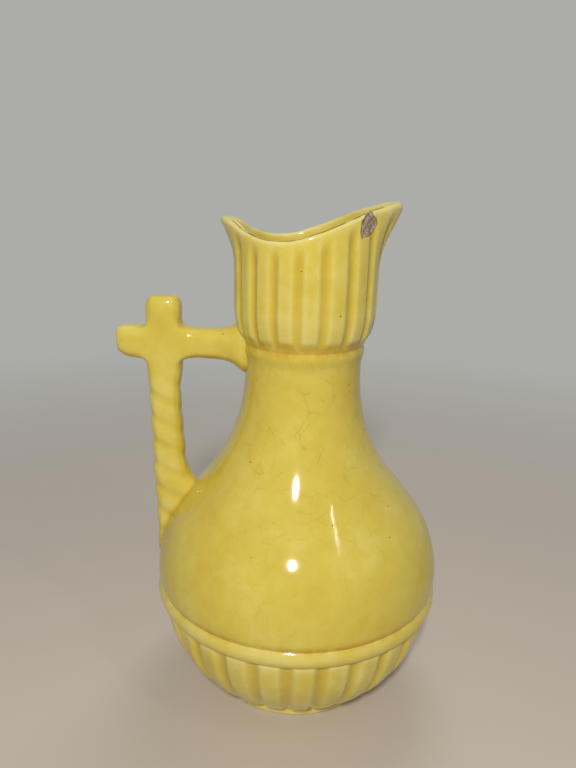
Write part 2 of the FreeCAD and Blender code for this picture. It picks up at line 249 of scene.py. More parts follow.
    # Relief in mm: slow ripples in the glaze, fine peel, open pinholes, cracks and the clay's tooth
    tooth = addNode(tree, "ShaderNodeMath", [claySpeck, bareEdge], operation="MULTIPLY")
    relief = 0.0
    for source, deep in ((ripple, ripples * glaze["rippleDeepMm"]), (peel, glaze["peelDeepMm"]),
                         (pit, -glaze["pinholeDeepMm"]), (crack, -glaze["crazeDeepMm"]),
                         (tooth, glaze["clayDeepMm"])):
        relief = addNode(tree, "ShaderNodeMath", [source, deep, relief], operation="MULTIPLY_ADD")
    bump = addNode(tree, "ShaderNodeBump", {"Height": relief, "Distance": mm, "Strength": 1.0})

    shader = addNode(
        tree, "ShaderNodeBsdfPrincipled",
        {"Base Color": colour, "Roughness": rough, "IOR": glaze["ior"], "Normal": bump})
    addNode(tree, "ShaderNodeOutputMaterial", {"Surface": shader})
    return material


# Mesh helpers
def newObject(name, mesh):
    piece = bpy.data.objects.new(name, mesh)
    bpy.context.scene.collection.objects.link(piece)
    return piece


def profileObject(name, points):
    # The points in order along a section, as a mesh that a tree reads by index
    mesh = bpy.data.meshes.new(name + "Section")
    edges = [(i, i + 1) for i in range(len(points) - 1)]
    mesh.from_pydata([Vector(p) for p in points], edges, [])
    return newObject(name, mesh)


def readMesh(items, name, width, kind=np.float64):
    values = np.empty(len(items) * width, kind)
    items.foreach_get(name, values)
    return values.reshape(-1, width)


def newGeometryTree(name, sizes):
    tree = bpy.data.node_groups.new(name, "GeometryNodeTree")
    tree.interface.new_socket("Geometry", in_out="INPUT", socket_type="NodeSocketGeometry")
    for label, value in sizes.items():
        kind = "NodeSocketInt" if isinstance(value, int) else "NodeSocketFloat"
        tree.interface.new_socket(label, in_out="INPUT", socket_type=kind)
    tree.interface.new_socket("Material", in_out="INPUT", socket_type="NodeSocketMaterial")
    tree.interface.new_socket("Geometry", in_out="OUTPUT", socket_type="NodeSocketGeometry")
    return tree, addNode(tree, "NodeGroupInput").outputs


def keepShape(piece):
    # Keeps what the modifiers make as a plain mesh
    evaluated = piece.evaluated_get(bpy.context.evaluated_depsgraph_get())
    mesh = bpy.data.meshes.new_from_object(evaluated)
    piece.modifiers.clear()
    old = piece.data
    piece.data = mesh
    bpy.data.meshes.remove(old)


def applyTree(piece, tree, sizes, material):
    # Sets the sizes by socket identifier
    modifier = piece.modifiers.new(tree.name, "NODES")
    modifier.node_group = tree
    sockets = {s.name: s.identifier for s in tree.interface.items_tree if s.in_out == "INPUT"}
    for label, value in sizes.items():
        modifier[sockets[label]] = value
    modifier[sockets["Material"]] = material
    keepShape(piece)


def endTree(tree, geometry, material):
    merged = addNode(tree, "GeometryNodeMergeByDistance", {"Geometry": geometry, "Distance": 0.01 * mm})
    solid = addNode(tree, "GeometryNodeRealizeInstances", [merged])
    painted = addNode(tree, "GeometryNodeSetMaterial", {"Geometry": solid, "Material": material})
    addNode(tree, "NodeGroupOutput", [painted])


def sectionGrid(tree, sockets):
    # A grid with a column for each step round the axis and a row for each point of the section.
    # Gives the grid, the angle and the section's point
    count = addNode(tree, "GeometryNodeAttributeDomainSize", [sockets["Geometry"]], component="MESH")
    columns = addNode(tree, "ShaderNodeMath", [sockets["StepsAround"], 1.0], operation="ADD")
    grid = addNode(tree, "GeometryNodeMeshGrid", [1.0, 1.0, columns, count])
    place = addNode(tree, "ShaderNodeSeparateXYZ", [addNode(tree, "GeometryNodeInputPosition")])
    around, along = [
        addNode(tree, "ShaderNodeMath", [place.outputs[axis], 0.5], operation="ADD") for axis in "XY"]
    angle = addNode(tree, "ShaderNodeMath", [around, 2 * math.pi], operation="MULTIPLY")
    last = addNode(tree, "ShaderNodeMath", [count, 1.0], operation="SUBTRACT")
    row = addNode(tree, "ShaderNodeMath", [along, last], operation="MULTIPLY")
    row = addNode(tree, "ShaderNodeMath", [row], operation="ROUND")
    picked = addNode(
        tree, "GeometryNodeSampleIndex",
        {"Geometry": sockets["Geometry"], "Value": addNode(tree, "GeometryNodeInputPosition"), "Index": row},
        data_type="FLOAT_VECTOR", domain="POINT")
    return grid, angle, addNode(tree, "ShaderNodeSeparateXYZ", [picked]).outputs


wobble = {"turnedMm": 34.0, "ropeMm": 13.0}


def placeRound(tree, grid, angle, radius, height, uneven):
    # Puts the grid's points round the axis at radius and height in mm, each a little out of true
    ways = [addNode(tree, "ShaderNodeMath", [angle], operation=way) for way in ("COSINE", "SINE")]
    sides = [addNode(tree, "ShaderNodeMath", [way, radius], operation="MULTIPLY") for way in ways]
    true = addNode(tree, "ShaderNodeCombineXYZ", sides + [height])
    noise = addNode(tree, "ShaderNodeTexNoise",
                    {"Vector": true, "Scale": 1 / wobble["turnedMm"], "Detail": 1.5})
    drift = addNode(tree, "ShaderNodeMath", [noise, 0.5], operation="SUBTRACT")
    drift = addNode(tree, "ShaderNodeMath", [drift, uneven], operation="MULTIPLY")
    outwards = addNode(tree, "ShaderNodeCombineXYZ", ways)
    drift = addNode(tree, "ShaderNodeVectorMath", {0: outwards, "Scale": drift}, operation="SCALE")
    moved = addNode(tree, "ShaderNodeVectorMath", [true, drift], operation="ADD")
    metres = addNode(tree, "ShaderNodeVectorMath", {0: moved, "Scale": mm}, operation="SCALE")
    return addNode(tree, "GeometryNodeSetPosition", {"Geometry": grid, "Position": metres})


grooveRound = 0.15  # how much of a rib's dome is a plain round, so that it has no flat top


def pillowShare(tree, angle, count, turn, crown):
    # 1 on the crest of each rib and near 0 in the soft groove between two; crown is the share of
    # the rib's half width that stays nearly level
    turns = angle
    for operation, value in (("SUBTRACT", turn), ("MULTIPLY", count), ("DIVIDE", 2 * math.pi)):
        turns = addNode(tree, "ShaderNodeMath", [turns, value], operation=operation)
    nearest = addNode(tree, "ShaderNodeMath", [turns], operation="ROUND")
    near = addNode(tree, "ShaderNodeMath", [turns, nearest], operation="SUBTRACT")
    near = addNode(tree, "ShaderNodeMath", [near], operation="ABSOLUTE")
    across = addNode(tree, "ShaderNodeMath", [near, 2.0], operation="MULTIPLY")
    dome = addNode(tree, "ShaderNodeMath", [across, across], operation="MULTIPLY")
    slope = addNode(
        tree, "ShaderNodeMapRange",
        {"Value": across, "From Min": crown, "From Max": 1.0, "To Min": 1.0, "To Max": grooveRound},
        interpolation_type="SMOOTHERSTEP")
    return addNode(tree, "ShaderNodeMath", [dome, -grooveRound, slope], operation="MULTIPLY_ADD")


def shareFrom(tree, height, level, reach, sign):
    # From 0 at the level to 1 at a reach above it, or below it where sign is -1
    gap = addNode(tree, "ShaderNodeMath", [height, level], operation="SUBTRACT")
    gap = addNode(tree, "ShaderNodeMath", [gap, sign], operation="MULTIPLY")
    return addNode(tree, "ShaderNodeMath", [gap, reach], operation="DIVIDE", use_clamp=True)


def quarterRound(tree, height, reach):
    # Rises steeply from 0 and ends level at 1, a reach higher up
    share = addNode(tree, "ShaderNodeMath", [height, reach], operation="DIVIDE", use_clamp=True)
    share = addNode(tree, "ShaderNodeMath", [share, math.pi / 2], operation="MULTIPLY")
    return addNode(tree, "ShaderNodeMath", [share], operation="SINE")


hollow = {"leastStepMm": 0.15, "leastRounds": 4, "mostRounds": 260, "most": 0.86, "showMm": 4.0}


def setHollow(piece, reachMm=3.4, deepMm=0.85, hiddenBelow=None):
    # Glaze runs off ridges and gathers in hollows: how far each point lies under its own
    # smoothed surface, 0.5 where it is level and on the joint below hiddenBelow
    mesh = piece.data
    n = len(mesh.vertices)
    points = readMesh(mesh.vertices, "co", 3) / mm
    normals = readMesh(mesh.vertex_normals, "vector", 3, np.float32)
    a, b = readMesh(mesh.edges, "vertices", 2, np.int32).T
    step = np.linalg.norm(points[a] - points[b], axis=1)
    weight = 1 / np.maximum(step, hollow["leastStepMm"])
    total = np.bincount(a, weight, n) + np.bincount(b, weight, n)
    rounds = int(min(hollow["mostRounds"], max(hollow["leastRounds"], (reachMm / np.median(step)) ** 2)))
    smooth = points.copy()
    for _ in range(rounds):
        for axis in range(3):
            column = smooth[:, axis].copy()
            sums = np.bincount(a, weight * column[b], n) + np.bincount(b, weight * column[a], n)
            smooth[:, axis] = 0.5 * column + 0.5 * sums / total
    depth = ((smooth - points) * normals).sum(axis=1)
    value = np.clip(0.5 + depth / (2 * deepMm), 0.0, hollow["most"])
    if hiddenBelow is not None:
        shown = np.clip((points[:, 2] - hiddenBelow) / hollow["showMm"], 0.0, 1.0)
        value = 0.5 + (value - 0.5) * shown
    layer = mesh.attributes.new("hollow", "FLOAT", "POINT")
    layer.data.foreach_set("value", value.astype(np.float32))


def finishPiece(piece, *nodes, sharpDegrees=50):
    # Normals outwards, smooth but for real corners, then tied to the frame
    skin = bmesh.new()
    skin.from_mesh(piece.data)
    bmesh.ops.recalc_face_normals(skin, faces=skin.faces)
    skin.to_mesh(piece.data)
    skin.free()
    piece.data.shade_smooth()
    piece.data.set_sharp_from_angle(angle=math.radians(sharpDegrees))
    if "hollow" not in piece.data.attributes:
        setHollow(piece)
    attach(piece, "root")
    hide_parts(*nodes)
    print(piece.name, "triangles", sum(len(p.vertices) - 2 for p in piece.data.polygons))


def arcPoints(low, high, bulge, steps):
    # Points on the arc from low to high that swells outwards by bulge
    low, high = Vector(low), Vector(high)
    chord = high - low
    side = Vector((chord.y, -chord.x)).normalized()
    radius = (chord.length ** 2 / 4 + bulge ** 2) / (2 * abs(bulge))
    half = math.asin(min(1.0, chord.length / 2 / radius))
    centre = (low + high) / 2 - side * math.copysign(radius - abs(bulge), bulge)
    points = []
    for i in range(steps + 1):
        t = -half + 2 * half * i / steps
        out = side * math.copysign(math.cos(t), bulge) * radius
        points.append(centre + out + chord.normalized() * math.sin(t) * radius)
    return [(p.x, p.y) for p in points]


def linePoints(low, high, steps):
    return [(low[0] + (high[0] - low[0]) * i / steps, low[1] + (high[1] - low[1]) * i / steps)
            for i in range(steps + 1)]


def joinedSection(*runs):
    # One list of points, each run's first point left out where the last run ended there
    points = []
    for run in runs:
        for p in run:
            if not points or math.dist(points[-1], p) > 0.01:
                points.append(p)
    return points + points[:1] if math.dist(points[0], points[-1]) > 0.01 and points[0][0] > 0 else points


# Plain turned pieces: foot ring, belly with its neck, bead and collar
jug = {"StepsAround": 288, "Unevenness": 0.55}
levelMm = 40.0  # so deep that a piece's own edges count as level, and only the rings colour it


def turnedTree():
    tree, sockets = newGeometryTree("turnedPiece", jug)
    grid, angle, section = sectionGrid(tree, sockets)
    skin = placeRound(tree, grid, angle, section["X"], section["Y"], sockets["Unevenness"])
    endTree(tree, skin, sockets["Material"])
    return tree


turned = turnedTree()


def turnedPiece(name, node, section, material, **hollows):
    piece = profileObject(name, [(r, z, 0) for r, z in section])
    applyTree(piece, turned, jug, material)
    if hollows:
        setHollow(piece, **hollows)
    finishPiece(piece, node)


footSizes = {"width": 5.6, "edge": 1.2, "edgeBulge": 0.348, "waist": 0.5, "sideBulge": -0.15, "under": 0.2}


def makeFootRing(material):
    outer = foot[1].x
    size = footSizes
    inner = outer - size["width"]
    edge = size["edge"]
    waist = outer - size["waist"]
    top = foot[1].z - size["under"]
    section = joinedSection(
        linePoints((inner, 0), (outer - edge, 0), 4),
        arcPoints((outer - edge, 0), (outer, edge), size["edgeBulge"], 6),
        arcPoints((outer, edge), (waist, top), size["sideBulge"], 6),
        linePoints((waist, top), (inner, top), 4),
        linePoints((inner, top), (inner, 0), 4),
    )
    turnedPiece("footRing", "foot_ring", section, material)


bellySizes = {
    "radius": 62.0, "level": 56.0, "round": 46.0, "slope": math.radians(39.4), "shoulder": 74.0,
    "neck": 24.5, "wall": 5.5, "channelIn": 0.75, "channelHigh": 4.0, "overCollar": 0.4,
}


def bellyLine(inset):
    # The belly's round, the straight slope and the hollow round up to the neck
    size = bellySizes
    ring = size["round"] - inset
    bowlCentre = size["radius"] - size["round"]
    slope = size["slope"]
    hollowRound = size["shoulder"] + inset
    startRadius = bowlCentre + size["round"] * math.cos(slope)
    startLevel = size["level"] + size["round"] * math.sin(slope)
    endRadius = size["neck"] + size["shoulder"] * (1 - math.cos(slope))
    endLevel = startLevel + (startRadius - endRadius) / math.tan(slope)
    neckLevel = endLevel + size["shoulder"] * math.sin(slope)
    start = math.asin((bead[1].z - size["level"]) / ring)
    low = [
        (bowlCentre + ring * math.cos(a), size["level"] + ring * math.sin(a))
        for a in np.linspace(start, slope, 60)
    ]
    high = [
        (size["neck"] + size["shoulder"] - hollowRound * math.cos(a), neckLevel - hollowRound * math.sin(a))
        for a in np.linspace(slope, 0.0, 60)
    ]
    return low + high


def makeBellyAndNeck(material):
    size = bellySizes
    outside = []
    for r, z in bellyLine(0):
        up = max(0.0, 1 - (z - bead[1].z) / size["channelHigh"])
        outside.append((r - size["channelIn"] * up * up, z))
    inside = bellyLine(size["wall"])
    top = collar[0].z + size["overCollar"]
    section = joinedSection(
        outside, linePoints(outside[-1], (size["neck"], top), 6),
        linePoints((size["neck"], top), (inside[-1][0], top), 3),
        list(reversed(inside)),
    )
    turnedPiece("bellyAndNeck", "belly_and_neck", section, material, deepMm=levelMm)


beadSizes = {"seat": 60.0, "bottom": 60.7, "top": 61.1, "bulge": 1.5, "inset": 1.5}


def makeBellyBead(material):
    size = beadSizes
    low, high = bead[0].z, bead[1].z
    bottom, top = (size["bottom"], low), (size["top"], high)
    back = size["seat"] - size["inset"]
    section = joinedSection(
        linePoints((back, low), bottom, 3), arcPoints(bottom, top, size["bulge"], 26),
        linePoints(top, (back, high), 3), linePoints((back, high), (back, low), 4),
    )
    turnedPiece("bellyBead", "belly_bead", section, material)


collarSizes = {"seat": 1.5, "bulge": 0.55, "bulgeUp": 1.7, "topOut": 0.72, "intoMouth": 0.3}


def makeNeckCollar(material):
    # A soft swelling that starts level with the neck and ends level with the mouth's foot
    size = collarSizes
    low, high = collar[0].z, collar[1].z + size["intoMouth"]
    neck = bellySizes["neck"]
    outside = []
    for t in np.linspace(0, 1, 33):
        ring = math.sin(math.pi * t ** size["bulgeUp"]) ** 2
        out = size["topOut"] * t * t * (3 - 2 * t) + size["bulge"] * ring
        outside.append((neck + out, low + (high - low) * t))
    section = joinedSection(
        linePoints((neck - size["seat"], low), (neck, low), 2),
        outside,
        linePoints(outside[-1], (neck - 2 * size["seat"], high), 2),
        linePoints((neck - 2 * size["seat"], high), (neck - size["seat"], low), 4),
    )
    turnedPiece("neckCollar", "neck_collar", section, material, deepMm=levelMm)


# Lower bowl: pillow-like lobes round a turned section
bowlSizes = {
    "StepsAround": 648, "Unevenness": 0.55, "Lobes": 27, "LobeTurn": math.radians(6.4), "LobeDepth": 1.8,
    "Crown": 0.38, "TopLevel": bead[0].z + 0.3, "TopRound": 3.2, "LowLevel": foot[1].z - 1.2,
    "LowRound": 3.0,
}
bowlWall = {"footOut": 0.8, "bulge": 6.2, "floor": 4.5, "inset": 4.5, "hollowBulge": 5.0, "seatIn": 2.5}


def gadroonTree():
    tree, sockets = newGeometryTree("gadroonedBowl", bowlSizes)
    grid, angle, section = sectionGrid(tree, sockets)
    radius, height, skin = section["X"], section["Y"], section["Z"]
    pillow = pillowShare(tree, angle, sockets["Lobes"], sockets["LobeTurn"], sockets["Crown"])
    for level, reach, sign in (("TopLevel", "TopRound", -1.0), ("LowLevel", "LowRound", 1.0)):
        gap = shareFrom(tree, height, sockets[level], sockets[reach], sign)
        near = addNode(tree, "ShaderNodeMath", [1.0, gap], operation="SUBTRACT")
        near = addNode(tree, "ShaderNodeMath", [near, 3.0], operation="POWER")
        keep = addNode(tree, "ShaderNodeMath", [1.0, near], operation="SUBTRACT")
        pillow = addNode(tree, "ShaderNodeMath", [pillow, keep], operation="MULTIPLY")
    sunk = addNode(tree, "ShaderNodeMath", [1.0, pillow], operation="SUBTRACT")
    sunk = addNode(tree, "ShaderNodeMath", [sunk, sockets["LobeDepth"]], operation="MULTIPLY")
    sunk = addNode(tree, "ShaderNodeMath", [sunk, skin], operation="MULTIPLY")
    radius = addNode(tree, "ShaderNodeMath", [radius, sunk], operation="SUBTRACT")
    solid = placeRound(tree, grid, angle, radius, height, sockets["Unevenness"])
    endTree(tree, solid, sockets["Material"])
    return tree


def makeGadroonedBowl(material):
    # The third number of a point is 1 on the outside, where the lobes are, and 0 within
    size = bowlWall
    low = (foot[1].x + size["footOut"], bowlSizes["LowLevel"])
    high = (beadSizes["seat"], (bead[0].z + bead[1].z) / 2)
    outside = arcPoints(low, high, size["bulge"], 90)
    floor = low[1] + size["floor"]
    inside = arcPoints(
        (low[0] - size["inset"], floor), (high[0] - size["inset"], high[1]), size["hollowBulge"], 30)
    points = [(0.0, low[1], 0.0), (low[0] - size["seatIn"], low[1], 0.0)]
    points += [(r, z, 1.0) for r, z in outside]
    points += [(r, z, 0.0) for r, z in reversed(inside)]
    points += [(0.0, floor, 0.0)]
    piece = profileObject("gadroonedBowl", points)
    applyTree(piece, gadroonTree(), bowlSizes, material)
    setHollow(piece, reachMm=4.6, deepMm=1.5)
    finishPiece(piece, "gadrooned_bowl")


# Fluted mouth: ribs round a cup that is pinched out on the x axis, under a saddle-shaped rim
mouthSizes = {
    "StepsAround": 540, "Unevenness": 0.55, "Ribs": 18, "RibTurn": math.radians(-5.0), "RibDepth": 1.05,
    "Crown": 0.36, "PitchDrift": math.radians(1.7),
    "BaseRadius": 26.3, "CupRadius": 29.3, "CupFlare": 0.6, "ShoulderHeight": 15.0,
    "Wall": 4.6, "LipWall": 3.0, "ThroatRadius": 19.0, "ThroatHeight": 18.0,
    "PinchPull": 8.2, "PinchStart": 30.0, "PinchSpan": 27.8, "PinchEase": 1.3, "PinchSharpness": 12.0,
    "Squeeze": 2.0, "BaseLevel": mouth[0].z, "RimLow": 42.6, "RimRise": 15.2, "RimGap": 1.4, "RibFade": 8.5,
    "RimFaint": 0.06, "RibFoot": 1.2, "RibFootRound": 4.2, "TipWall": 2.4,
    "WornAcross": 0.355, "WornHalf": 0.05, "WornEnd": 0.16,
}
# The rim seen from the side: places from back point to pouring point, and rises from the saddle
rimShares = ((0.0, 0.51), (0.045, 0.48), (0.168, 0.18), (0.332, 0.0), (0.551, 0.217), (0.635, 0.368),
             (0.727, 0.546), (0.814, 0.73), (0.9, 0.86), (0.96, 0.955), (1.0, 0.985))


def fluteTree():
    # The section's point is (share from outside to inside, share of the height, share of the lip's round)
    tree, sockets = newGeometryTree("flutedMouth", mouthSizes)
    grid, angle, section = sectionGrid(tree, sockets)
    across, up, lip = section["X"], section["Y"], section["Z"]
    cosine = addNode(tree, "ShaderNodeMath", [angle], operation="COSINE")
    sine = addNode(tree, "ShaderNodeMath", [angle], operation="SINE")
    straight = addNode(tree, "ShaderNodeMath", [cosine], operation="ABSOLUTE")
    point = addNode(tree, "ShaderNodeMath", [straight, sockets["PinchSharpness"]], operation="POWER")
    pull = addNode(tree, "ShaderNodeMath", [point, sockets["PinchPull"]], operation="MULTIPLY")

    # The rim's height at this angle, from where the drawn-out cup stands along x
    widest = addNode(tree, "ShaderNodeMath", [sockets["CupRadius"], sockets["CupFlare"]], operation="ADD")
    reach = addNode(tree, "ShaderNodeMath", [widest, pull], operation="ADD")
    alongX = addNode(tree, "ShaderNodeMath", [reach, cosine], operation="MULTIPLY")
    tip = addNode(tree, "ShaderNodeMath", [widest, sockets["PinchPull"]], operation="ADD")
    share = addNode(tree, "ShaderNodeMath", [alongX, tip], operation="DIVIDE")
    share = addNode(tree, "ShaderNodeMath", [share, 0.5, 0.5], operation="MULTIPLY_ADD")
    saddle = addNode(tree, "ShaderNodeFloatCurve", {"Value": share})
    curve = saddle.mapping.curves[0]
    curve.points[0].location, curve.points[1].location = rimShares[0], rimShares[-1]
    for place in rimShares[1:-1]:
        curve.points.new(*place)
    saddle.mapping.update()
    rim = addNode(tree, "ShaderNodeMath", [saddle, sockets["RimRise"], sockets["RimLow"]],
                  operation="MULTIPLY_ADD")
    lipWall = addNode(
        tree, "ShaderNodeMath", [point, sockets["TipWall"], sockets["LipWall"]], operation="MULTIPLY_ADD")
    lipHigh = addNode(tree, "ShaderNodeMath", [lipWall, 0.5], operation="MULTIPLY")
    wallTop = addNode(tree, "ShaderNodeMath", [rim, lipHigh], operation="SUBTRACT")
    height = addNode(tree, "ShaderNodeMath", [up, wallTop], operation="MULTIPLY")
    height = addNode(tree, "ShaderNodeMath", [lip, lipHigh, height], operation="MULTIPLY_ADD")

    # The crest of the outside: a round shoulder, a slight flare, then the pinch
    rise = addNode(tree, "ShaderNodeMath", [height, sockets["PinchStart"]], operation="SUBTRACT")
    rise = addNode(tree, "ShaderNodeMath", [rise, sockets["PinchSpan"]], operation="DIVIDE")
    rise = addNode(tree, "ShaderNodeMath", [rise, 0.0], operation="MAXIMUM", use_clamp=True)
    eased = addNode(tree, "ShaderNodeMath", [rise, sockets["PinchEase"]], operation="POWER")
    eased = addNode(tree, "ShaderNodeMapRange", {"Value": eased}, interpolation_type="SMOOTHSTEP")
    pinch = addNode(tree, "ShaderNodeMath", [eased, pull], operation="MULTIPLY")
    sideways = addNode(tree, "ShaderNodeMath", [sine, 2.0], operation="POWER")
    drawnIn = addNode(tree, "ShaderNodeMath", [sideways, sockets["Squeeze"]], operation="MULTIPLY")
    drawnIn = addNode(tree, "ShaderNodeMath", [drawnIn, rise], operation="MULTIPLY")
    pinch = addNode(tree, "ShaderNodeMath", [pinch, drawnIn], operation="SUBTRACT")
    shoulder = quarterRound(tree, height, sockets["ShoulderHeight"])
    swell = addNode(tree, "ShaderNodeMath", [sockets["CupRadius"], sockets["BaseRadius"]],
                    operation="SUBTRACT")
    crest = addNode(tree, "ShaderNodeMath", [shoulder, swell, sockets["BaseRadius"]],
                    operation="MULTIPLY_ADD")
    whole = addNode(tree, "ShaderNodeMath", [sockets["RimLow"], sockets["RimRise"]], operation="ADD")
    flare = addNode(tree, "ShaderNodeMath", [height, whole], operation="DIVIDE")
    flare = addNode(tree, "ShaderNodeMath", [flare, sockets["CupFlare"], pinch], operation="MULTIPLY_ADD")
    outer = addNode(tree, "ShaderNodeMath", [crest, flare], operation="ADD")

    # Ribs: full in the middle, faint under the rim, rounded off at their feet
    drift = addNode(tree, "ShaderNodeMath", [angle, 3.0], operation="MULTIPLY")
    drift = addNode(tree, "ShaderNodeMath", [drift], operation="SINE")
    drift = addNode(tree, "ShaderNodeMath", [drift, sockets["PitchDrift"], angle], operation="MULTIPLY_ADD")
    pillow = pillowShare(tree, drift, sockets["Ribs"], sockets["RibTurn"], sockets["Crown"])
    footEnd = addNode(tree, "ShaderNodeMath", [sockets["RibFoot"], sockets["RibFootRound"]], operation="ADD")
    footKeep = addNode(
        tree, "ShaderNodeMapRange", {"Value": height, "From Min": sockets["RibFoot"], "From Max": footEnd},
        interpolation_type="SMOOTHSTEP")
    pillow = addNode(tree, "ShaderNodeMath", [pillow, footKeep], operation="MULTIPLY")
    sunk = addNode(tree, "ShaderNodeMath", [1.0, pillow], operation="SUBTRACT")
    below = addNode(tree, "ShaderNodeMath", [rim, height], operation="SUBTRACT")
    fadeEnd = addNode(tree, "ShaderNodeMath", [sockets["RimGap"], sockets["RibFade"]], operation="ADD")
    fade = addNode(
        tree, "ShaderNodeMapRange",
        {"Value": below, "From Min": sockets["RimGap"], "From Max": fadeEnd,
         "To Min": sockets["RimFaint"], "To Max": 1.0}, interpolation_type="SMOOTHSTEP")
    sunk = addNode(tree, "ShaderNodeMath", [sunk, fade], operation="MULTIPLY")
    ribbed = addNode(tree, "ShaderNodeMath", [sunk, sockets["RibDepth"]], operation="MULTIPLY")
    outside = addNode(tree, "ShaderNodeMath", [outer, ribbed], operation="SUBTRACT")

    # The inside follows the crest without the ribs, and narrows to the throat below
    wall = addNode(
        tree, "ShaderNodeMapRange",
        {"Value": height, "From Min": 0.0, "From Max": wallTop, "To Min": sockets["Wall"],
         "To Max": lipWall})
    full = addNode(tree, "ShaderNodeMath", [sockets["CupRadius"], flare], operation="ADD")
    full = addNode(tree, "ShaderNodeMath", [full, wall], operation="SUBTRACT")
    widened = quarterRound(tree, height, sockets["ThroatHeight"])
    room = addNode(tree, "ShaderNodeMath", [full, sockets["ThroatRadius"]], operation="SUBTRACT")
    inside = addNode(tree, "ShaderNodeMath", [room, widened, sockets["ThroatRadius"]],
                     operation="MULTIPLY_ADD")
    between = addNode(tree, "ShaderNodeMath", [inside, outside], operation="SUBTRACT")
    radius = addNode(tree, "ShaderNodeMath", [across, between, outside], operation="MULTIPLY_ADD")
    level = addNode(tree, "ShaderNodeMath", [height, sockets["BaseLevel"]], operation="ADD")

    # The worn line runs along the lip, a little outside its crest
    offLine = addNode(tree, "ShaderNodeMath", [across, sockets["WornAcross"]], operation="SUBTRACT")
    offLine = addNode(tree, "ShaderNodeMath", [offLine], operation="ABSOLUTE")
    line = addNode(
        tree, "ShaderNodeMapRange",
        {"Value": offLine, "From Min": sockets["WornHalf"], "From Max": sockets["WornEnd"],
         "To Min": 1.0, "To Max": 0.0})
    plain = addNode(tree, "ShaderNodeMath", [1.0, point], operation="SUBTRACT")
    line = addNode(tree, "ShaderNodeMath", [line, plain], operation="MULTIPLY")
    marked = addNode(
        tree, "GeometryNodeStoreNamedAttribute",
        {"Geometry": grid, "Name": "worn", "Value": line}, data_type="FLOAT", domain="POINT")
    solid = placeRound(tree, marked, angle, radius, level, sockets["Unevenness"])
    endTree(tree, solid, sockets["Material"])
    return tree


# The chip on the lip near the pouring point, where the clay shows
chip = {
    "x": 22.5, "below": 5.2, "halfWide": 3.2, "halfHigh": 4.3, "deep": 1.1, "ragged": 0.16,
    "waves": ((3, 0.6, 0.5), (5, 2.0, 0.35), (9, 0.0, 0.25)), "soft": 2.2, "steep": 5, "uneven": 0.25,
}


def cutChip(piece):
    mesh = piece.data
    layer = mesh.attributes.new("bare", "FLOAT", "POINT")
    tops = {}
    for v in mesh.vertices:
        x, y, z = v.co / mm
        if y < 0 and abs(x - chip["x"]) < 2 * chip["halfWide"]:
            tops[round(x)] = max(tops.get(round(x), 0.0), z)
    for v in mesh.vertices:
        x, y, z = v.co / mm
        if y > 0 or round(x) not in tops:
            continue
        down = tops[round(x)] - z
        if down > 3 * chip["halfHigh"]:
            continue
        a = (x - chip["x"]) / chip["halfWide"]
        b = (down - chip["below"]) / chip["halfHigh"]
        turn = math.atan2(b, a)
        waves = sum(high * math.sin(count * turn + phase) for count, phase, high in chip["waves"])
        edge = 1 + chip["ragged"] * waves
        inside = edge - math.hypot(a, b)
        outward = v.normal.dot(Vector((x, y, 0)).normalized())
        if inside < -0.3 or outward < -0.1:
            continue
        layer.data[v.index].value = min(1.0, max(0.0, 0.5 + inside * chip["soft"]))
        if inside > 0:
            bumps = chip["uneven"] * math.sin(7 * a) * math.cos(6 * b)
            bite = min(1.0, inside * chip["steep"]) * (1 - chip["uneven"] + bumps)
            v.co -= Vector((x, y, 0)).normalized() * chip["deep"] * bite * mm


def makeFlutedMouth(material):
    wallSteps, lipSteps = 64, 16
    section = [(0.0, i / wallSteps, 0.0) for i in range(wallSteps)]
    for i in range(lipSteps + 1):
        t = math.pi * i / lipSteps
        section.append((0.5 - 0.5 * math.cos(t), 1.0, math.sin(t)))
    section += [(1.0, 1 - i / wallSteps, 0.0) for i in range(1, wallSteps + 1)]
    section.append(section[0])
    piece = profileObject("flutedMouth", section)
    applyTree(piece, fluteTree(), mouthSizes, material)
    setHollow(piece, hiddenBelow=mouthSizes["BaseLevel"] + 0.5)
    cutChip(piece)
    finishPiece(piece, "fluted_mouth", sharpDegrees=60)


# Handle: one soft skin for the crossing arms, cut where its three pieces join
handle = {
    "barLevel": (bar[0].z + bar[1].z) / 2, "crossX": -58.4, "coreHalf": 7.0, "deepHalf": 6.5,
    "edgeShare": 0.55, "cornerCut": 0.24, "nearNeck": -45.0, "underBar": 120.0, "subdivisions": 4,
}
# Stations out from the crossing: place along the arm, half sizes across it and, on the left, a rise, in mm
leftArm = ((-69.0, 7.0, 6.6, 0.0), (-74.6, 6.8, 6.5, 0.4), (-77.9, 5.0, 4.6, 1.3))
rightArm = ((-47.0, 6.2, 6.3), (-40.0, 6.4, 6.4), (-34.0, 6.7, 6.6), (-29.0, 8.0, 7.6),
            (-25.6, 11.6, 9.3), (-21.5, 13.0, 9.5))
topArm = ((166.0, 7.3, 6.6), (171.6, 7.8, 6.8), (175.0, 6.0, 5.2))
# Down the upright: height, outer x, inner x and half depth
downArm = ((145.0, -66.2, -50.4, 6.6), (138.0, -65.3, -52.2, 6.5), (129.0, -65.0, -51.6, 6.4),
           (119.0, -64.7, -51.1, 6.4), (109.0, -64.4, -50.6, 6.4), (101.0, -64.2, -50.0, 6.4),
           (95.0, -63.9, -47.6, 6.4), (90.0, -63.7, -43.0, 6.6), (84.0, -63.4, -47.5, 6.6),
           (77.0, -63.2, -51.5, 6.2), (70.0, -63.0, -55.0, 5.4), (63.0, -63.1, -57.5, 4.0),
           (58.5, -62.9, -59.0, 2.4))
ropeSizes = {
    "Lead": 21.0, "Strands": 2.0, "GrooveDepth": 0.42, "Broadness": 1.7, "AxisX": -57.6, "TopLevel": 144.0,
    "TopFade": 9.0, "LowLevel": 62.0, "LowFade": 10.0, "Unevenness": 0.8,
}


